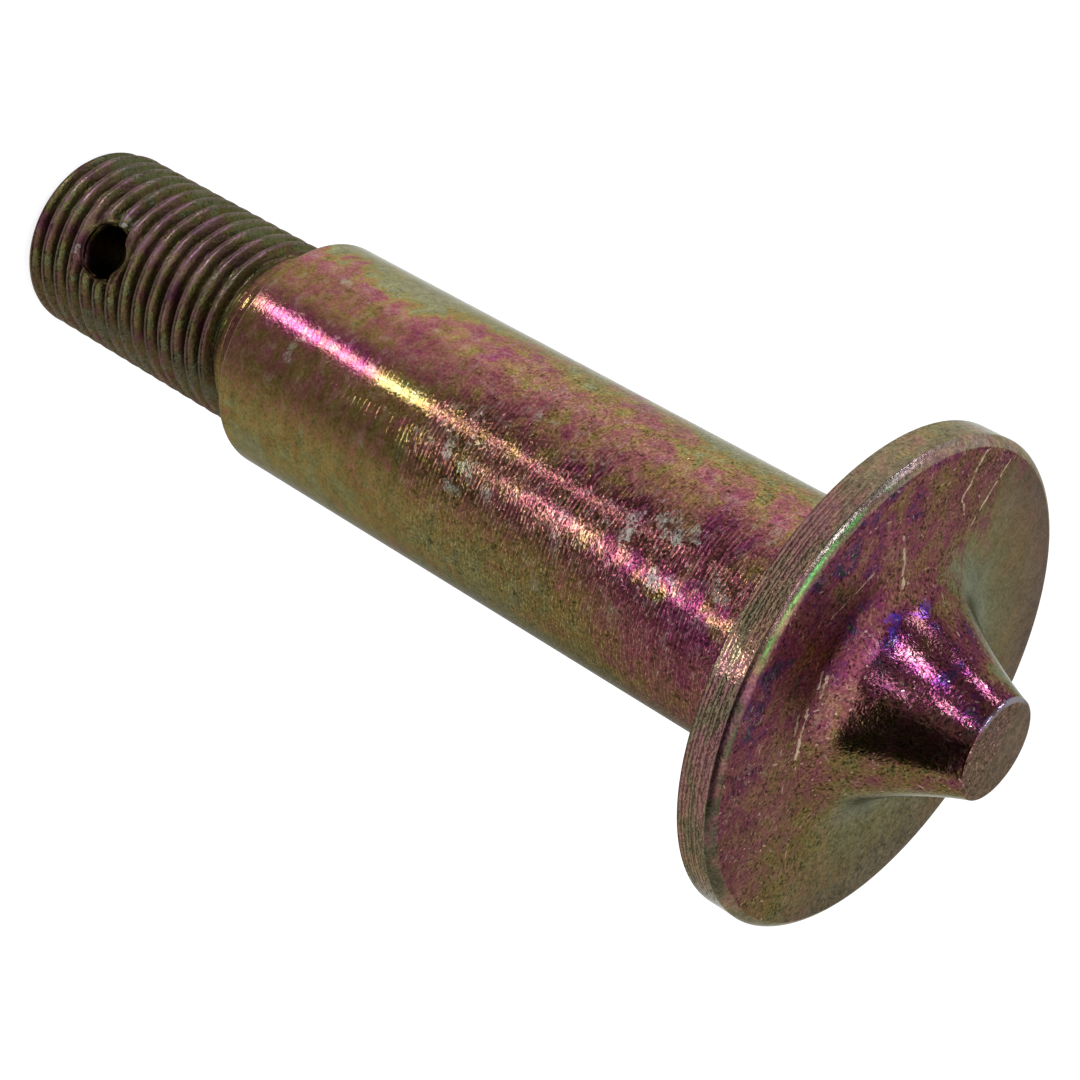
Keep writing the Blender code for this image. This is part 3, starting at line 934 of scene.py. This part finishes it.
# A grey card that only reflections show, as a studio sets beside bright metal. Its levels, one
# for all points or one for each, are kept on the mesh, so that the card can fade from grey to white.
def makeCard(name, rows, levels):
    points = np.array([[tuple(p) for p in row] for row in rows])
    height, width = points.shape[:2]
    i, j = np.meshgrid(np.arange(height - 1), np.arange(width - 1), indexing="ij")
    cells = np.stack([i * width + j, i * width + j + 1, (i + 1) * width + j + 1, (i + 1) * width + j], -1)
    mesh = bpy.data.meshes.new(name)
    mesh.from_pydata(points.reshape(-1, 3).tolist(), [], cells.reshape(-1, 4).tolist())
    kept = mesh.attributes.new("level", "FLOAT", "POINT")
    kept.data.foreach_set("value", (np.zeros((height, width)) + levels).astype(np.float32).ravel())
    card = newObject(name, mesh)
    material = bpy.data.materials.new(name)
    material.use_nodes = True
    tree = material.node_tree
    tree.nodes.remove(tree.nodes["Principled BSDF"])
    glow = newNode(tree, "ShaderNodeEmission")
    glow.inputs["Color"].default_value = studio["cardColour"]
    tree.links.new(newNode(tree, "ShaderNodeAttribute", attribute_name="level").outputs["Fac"],
                   glow.inputs["Strength"])
    tree.links.new(glow.outputs[0], tree.nodes["Material Output"].inputs["Surface"])
    mesh.materials.append(material)
    for ray in ("camera", "diffuse", "shadow", "transmission"):
        setattr(card, "visible_" + ray, False)


def makeLamp(name, matrix, size, radiance, colour):
    data = bpy.data.lights.new(name, "AREA")
    data.shape = "RECTANGLE"
    data.size, data.size_y = size
    data.energy = radiance * math.pi * size[0] * size[1]
    data.color = colour
    lamp = newObject(name, data)
    lamp.matrix_world = matrix
    lamp.visible_camera = False


# A narrow lamp lying on the floor and shining up, from one point to another in mm
def floorStrip(name, start, end, width, radiance):
    start, end = Vector(start) / 1000.0, Vector(end) / 1000.0
    middle, along = (start + end) / 2.0, end - start
    matrix = (Matrix.Translation((middle.x, middle.y, 0.003))
              @ Matrix.Rotation(math.atan2(along.y, along.x), 4, "Z") @ Matrix.Rotation(math.pi, 4, "X"))
    makeLamp(name, matrix, (along.length, width / 1000.0), radiance, studio["white"])


# A lamp in the room, seen from the nub at an azimuth and an elevation, so many degrees wide
def roomLamp(name, azimuth, elevation, wide, radiance, distance, colour):
    centre = Vector((0.0, 0.0, 0.066))
    e = math.radians(elevation)
    place = centre + onCircle(azimuth, distance * math.cos(e), distance * math.sin(e))
    turn = (centre - place).to_track_quat("-Z", "Y").to_matrix().to_4x4()
    size = 2.0 * distance * math.tan(math.radians(wide / 2.0))
    makeLamp(name, Matrix.Translation(place) @ turn, (size, size), radiance, colour)


makeFloor()
makeWorld()
cardAzimuths = range(-168, 96, 3)
cardLevels = np.interp(cardAzimuths, *zip(*studio["floorCard"]))
rowShares = np.array([[share] for _, share in studio["cardRows"]])
makeCard("floor_card", [[onCircle(t, r, 0.001) for t in cardAzimuths] for r, _ in studio["cardRows"]],
         np.minimum(cardLevels * rowShares, studio["floorGlow"]))
for name, azimuths, distance, heights, level in studio["cards"]:
    makeCard(name, [[onCircle(t, distance, h) for t in range(*azimuths)] for h in heights], level)
for strip in studio["strips"]:
    floorStrip(*strip)
for window in studio["windows"]:
    roomLamp(*window, studio["windowDistance"], studio["windowColour"])
roomLamp("room_light", -60.0, 65.0, 60.0, 1.0, 1.0, studio["white"])


# Camera fitted to the photo
view = {
    "sensorWidth": 36.0,
    "lens": 87.525,
    "place": (-0.014273, -0.121896, 0.120937),
    "right": (-0.438099, 0.534417, 0.722819),
    "down": (0.891613, 0.155976, 0.425085),
    "forward": (0.114431, 0.830704, -0.544827),
}


def makeCamera():
    data = bpy.data.cameras.new("camera")
    data.sensor_width = view["sensorWidth"]
    data.lens = view["lens"]
    data.clip_start, data.clip_end = 0.01, 20.0
    camera = newObject("camera", data)
    axes = Matrix((Vector(view["right"]), -Vector(view["down"]), -Vector(view["forward"]))).transposed()
    camera.matrix_world = Matrix.Translation(view["place"]) @ axes.to_4x4()
    bpy.context.scene.camera = camera


makeCamera()
bpy.context.scene.view_settings.view_transform = "Standard"
print("studio ready")
